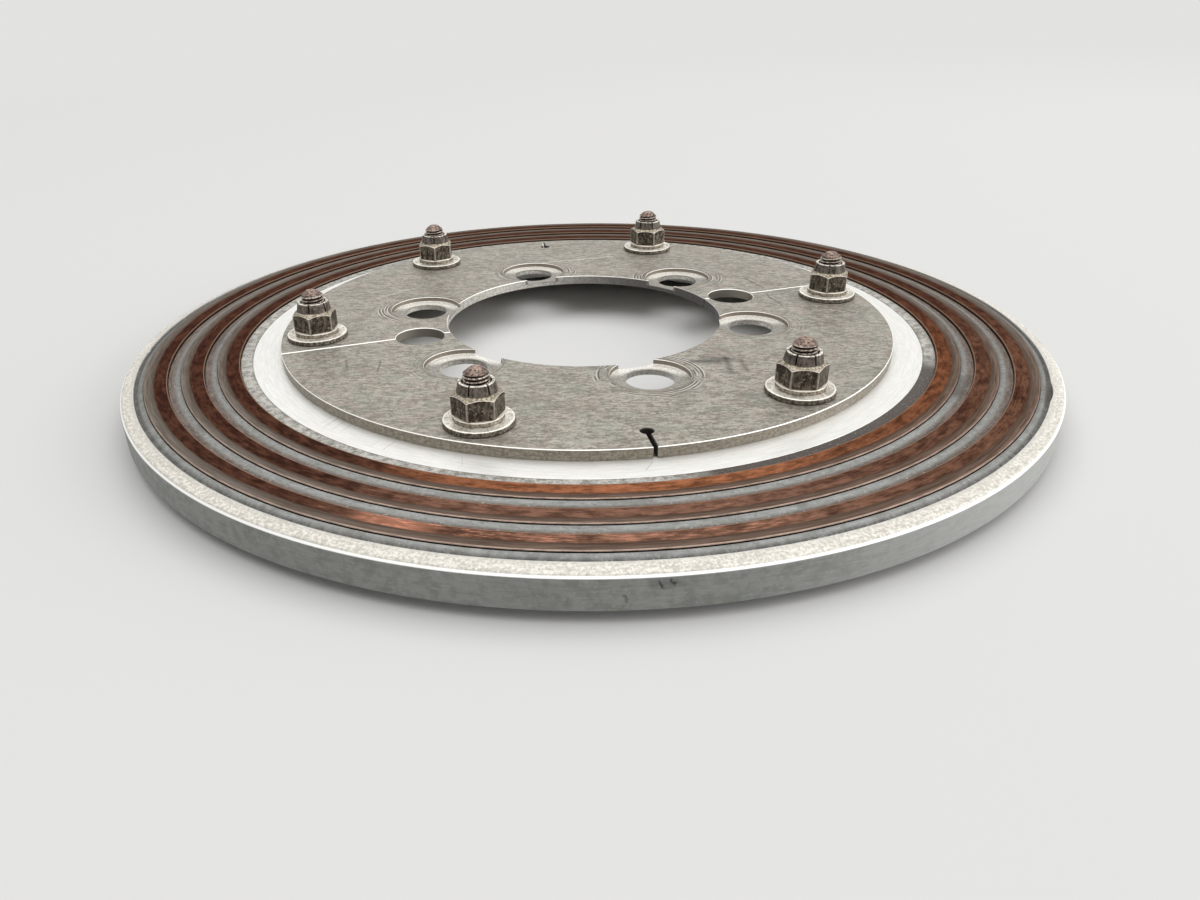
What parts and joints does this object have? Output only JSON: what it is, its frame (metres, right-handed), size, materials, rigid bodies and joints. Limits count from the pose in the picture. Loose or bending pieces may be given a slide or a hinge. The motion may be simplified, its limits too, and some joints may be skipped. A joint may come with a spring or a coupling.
{
  "type": "engine slip ring assembly",
  "caption": "Flat round slip ring: copper tracks potted in a turned aluminium housing, bolted to a split plate with a central bore and counterbored stud holes.",
  "frame": {"origin": "on the spin axis, at the ends of the terminal studs on which the assembly stands", "axes": "+Z along the spin axis towards the brush side; +X along the split of the mounting plate"},
  "size_m": [0.2666, 0.2666, 0.0284],
  "materials": {
    "housing_aluminium": "turned, matt outside and bright on the boss",
    "potting_compound": "rough cast epoxy, grey",
    "ring_copper": "worn copper track with a brown patina",
    "plate_steel": "finely brushed, scratched",
    "bolt_steel": "plated, darkened at the thread",
    "nut_steel": "cadmium plated, dull gold",
    "washer_steel": "bright plated",
    "terminal_brass": "tinned brass"
  },
  "bodies": {
    "root": {"slip_ring_housing": "housing_aluminium", "insulating_potting": "potting_compound", "inner_slip_ring": "ring_copper", "middle_slip_ring": "ring_copper", "outer_slip_ring": "ring_copper", "near_plate_half": "plate_steel", "far_plate_half": "plate_steel", "plate_bolt_1": "bolt_steel", "plate_bolt_2": "bolt_steel", "plate_bolt_3": "bolt_steel", "plate_bolt_4": "bolt_steel", "plate_bolt_5": "bolt_steel", "plate_bolt_6": "bolt_steel", "lock_nut_1": "nut_steel", "lock_nut_2": "nut_steel", "lock_nut_3": "nut_steel", "lock_nut_4": "nut_steel", "lock_nut_5": "nut_steel", "lock_nut_6": "nut_steel", "nut_washers": "washer_steel", "inner_ring_terminals": "terminal_brass", "middle_ring_terminals": "terminal_brass", "outer_ring_terminals": "terminal_brass"}
  },
  "joints": []
}
